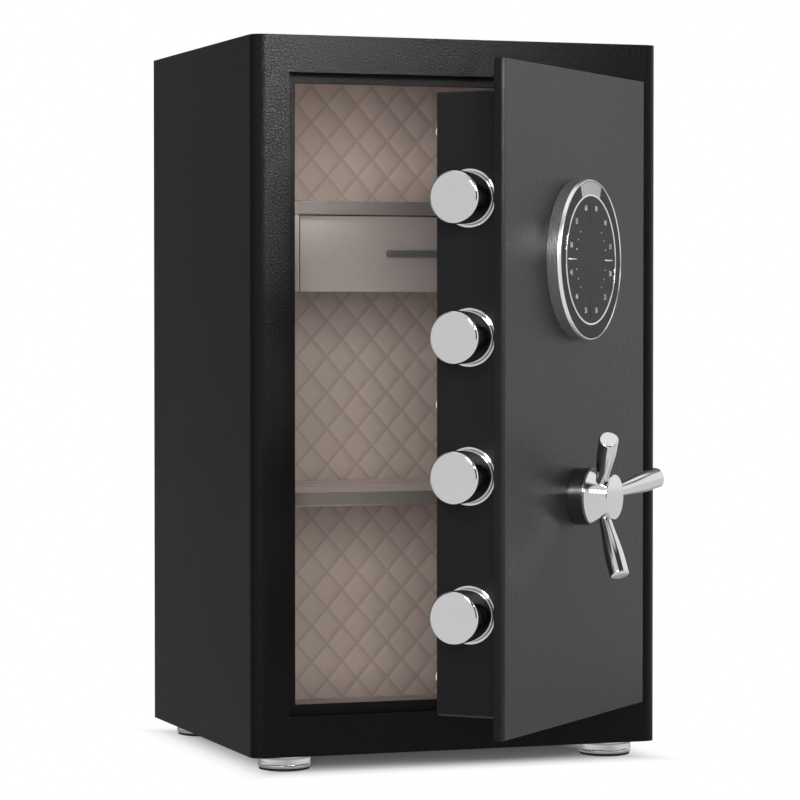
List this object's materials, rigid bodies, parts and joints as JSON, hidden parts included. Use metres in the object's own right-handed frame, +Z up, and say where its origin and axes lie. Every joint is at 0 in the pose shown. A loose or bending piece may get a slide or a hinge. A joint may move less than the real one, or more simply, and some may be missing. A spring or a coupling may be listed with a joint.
{
  "type": "electronic safe",
  "caption": "Upright steel safe with an electronic dial, a three-spoke handle, round throwing bolts, a padded quilted inside, a shelf and a drawer.",
  "frame": {"origin": "on the floor, at the middle of the cabinet's footprint (the cabinet without its open door)", "axes": "+Z up, -Y out of the cabinet's front, +X to the right seen from the front, towards the hinge side"},
  "size_m": [0.364, 0.5372, 0.6135],
  "materials": {
    "body_paint": "textured dark grey powder coat",
    "pin_steel": "plain zinc-plated steel",
    "lining": "taupe padded lining sewn in diamonds",
    "shelf_board": "board covered in fine-grained taupe cloth",
    "trim_metal": "satin metal edge strip",
    "rail_steel": "dark painted steel",
    "drawer_skin": "warm grey brushed metal skin",
    "tray_plastic": "dark moulded tray",
    "pull_metal": "dark metal pull",
    "foot_chrome": "bright chrome, milled band",
    "foot_rubber": "black rubber",
    "door_paint": "fine-textured grey powder coat",
    "box_paint": "satin near-black paint",
    "bolt_chrome": "bright chrome",
    "handle_black": "black collar",
    "handle_chrome": "bright chrome casting",
    "dial_metal": "brushed metal housing with a bright rim",
    "dial_dark": "dark satin ring",
    "dial_light": "pale inlay",
    "dial_chrome": "bright chrome ring",
    "dial_glass": "dark smoked panel",
    "board_green": "circuit board",
    "coil_steel": "plated solenoid frame",
    "battery_black": "moulded battery holder",
    "lever_brass": "brass crank"
  },
  "bodies": {
    "cabinet": {"casing": "body_paint", "back_panel": "body_paint", "stop_frame": "body_paint", "hinge_bracket_top": "body_paint", "hinge_bracket_bottom": "body_paint", "hinge_pins": "pin_steel", "lining_back": "lining", "lining_left": "lining", "lining_right": "lining", "lining_top": "lining", "lining_bottom": "lining", "lower_shelf": "shelf_board", "lower_shelf_trim": "trim_metal", "shelf_rails": "rail_steel", "drawer_unit_top": "shelf_board", "drawer_unit_trim": "trim_metal", "drawer_unit_left": "drawer_skin", "drawer_unit_right": "drawer_skin", "drawer_runner_left": "rail_steel", "drawer_runner_right": "rail_steel", "foot_1": "foot_chrome", "foot_2": "foot_chrome", "foot_3": "foot_chrome", "foot_4": "foot_chrome", "foot_pads": "foot_rubber"},
    "drawer": {"drawer_tray": "tray_plastic", "drawer_front": "drawer_skin", "drawer_pull": "pull_metal"},
    "bolts": {"bolt_1": "bolt_chrome", "bolt_2": "bolt_chrome", "bolt_3": "bolt_chrome", "bolt_4": "bolt_chrome", "carriage": "pin_steel", "bolt_screws": "pin_steel"},
    "handle": {"handle_hub": "handle_chrome", "handle_spokes": "handle_chrome", "spindle": "pin_steel", "lever": "lever_brass"},
    "plunger": {"plunger": "pin_steel"},
    "door": {"door_plate": "door_paint", "door_box": "box_paint", "door_cover": "box_paint", "cover_screws": "pin_steel", "hinge_arm_top": "body_paint", "hinge_arm_bottom": "body_paint", "bolt_ring_1": "bolt_chrome", "bolt_ring_2": "bolt_chrome", "bolt_ring_3": "bolt_chrome", "bolt_ring_4": "bolt_chrome", "guide_studs": "pin_steel", "handle_base": "handle_black", "dial_body": "dial_metal", "dial_face": "dial_dark", "dial_marker": "dial_light", "dial_ring": "dial_chrome", "dial_glass": "dial_glass", "control_board": "board_green", "solenoid": "coil_steel", "battery_box": "battery_black"}
  },
  "joints": [
    {"name": "door_swing", "type": "hinge", "parent": "cabinet", "child": "door", "pos_m": [0.173, -0.145, 0.315], "axis": [0, 0, 1], "range_deg": [-45, 55]},
    {"name": "handle_turn", "type": "hinge", "parent": "door", "child": "handle", "pos_m": [0.05845, -0.27369, 0.2333], "axis": [-0.7071, 0.7071, 0], "range_deg": [0, 90]},
    {"name": "bolt_throw", "type": "slide", "parent": "door", "child": "bolts", "axis": [0.7071, 0.7071, 0], "range_m": [0, 0.03]},
    {"name": "plunger_drop", "type": "slide", "parent": "door", "child": "plunger", "axis": [0, 0, -1], "range_m": [0, 0.005]},
    {"name": "drawer_slide", "type": "slide", "parent": "cabinet", "child": "drawer", "axis": [0, -1, 0], "range_m": [0, 0.009]}
  ],
  "couplings": [
    {"joint": "handle_turn", "follows": "bolt_throw", "rad_per_m": 52.36}
  ]
}
